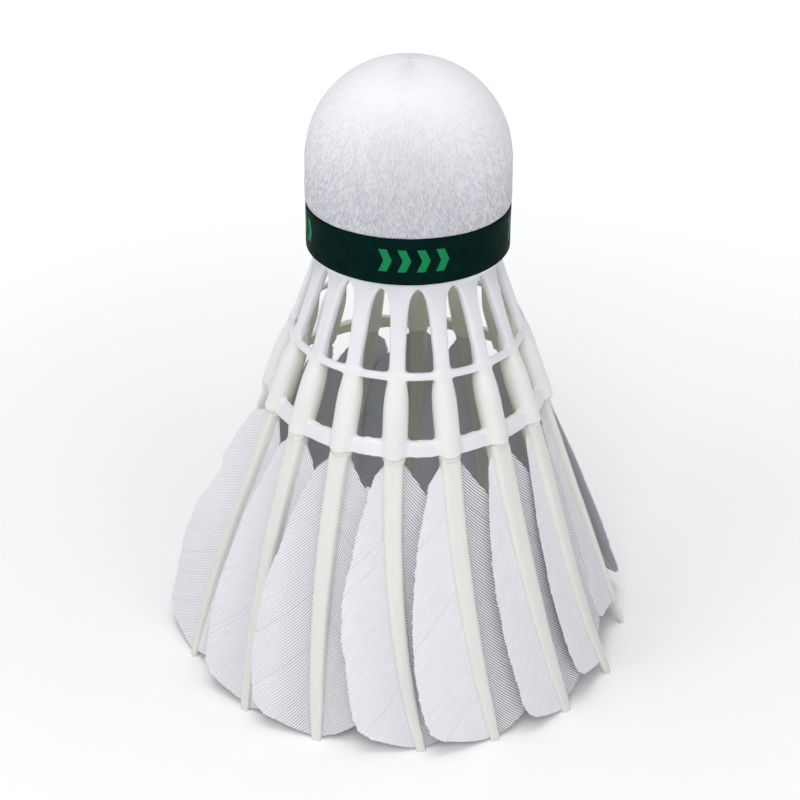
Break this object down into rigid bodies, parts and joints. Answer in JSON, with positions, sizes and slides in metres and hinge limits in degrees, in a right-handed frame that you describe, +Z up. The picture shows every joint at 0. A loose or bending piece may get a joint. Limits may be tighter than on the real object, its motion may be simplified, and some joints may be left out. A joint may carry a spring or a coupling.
{
  "type": "badminton shuttlecock",
  "caption": "Domed leather-covered cork head with a tape band, on a moulded nylon cage whose sockets hold a flared skirt of overlapping trimmed feathers.",
  "frame": {"origin": "middle of the circle of quill tips, on the surface that the shuttlecock stands on", "axes": "+Z up the axis of the cone towards the head; -Y through the first stem and socket"},
  "size_m": [0.0648, 0.0646, 0.086],
  "materials": {
    "dome_cork": "bare cork",
    "disc_cork": "bare pressed cork",
    "head_leather": "fine grained white synthetic leather",
    "band_tape": "satin tape",
    "cage_nylon": "moulded white nylon",
    "feather": "natural white feather"
  },
  "bodies": {
    "root": {"head_cork_dome": "dome_cork", "head_base_disc": "disc_cork", "head_leather_cover": "head_leather", "head_tape_band": "band_tape", "nylon_cage": "cage_nylon", "feather_01": "feather", "feather_02": "feather", "feather_03": "feather", "feather_04": "feather", "feather_05": "feather", "feather_06": "feather", "feather_07": "feather", "feather_08": "feather", "feather_09": "feather", "feather_10": "feather", "feather_11": "feather", "feather_12": "feather", "feather_13": "feather", "feather_14": "feather", "feather_15": "feather", "feather_16": "feather"}
  },
  "joints": []
}
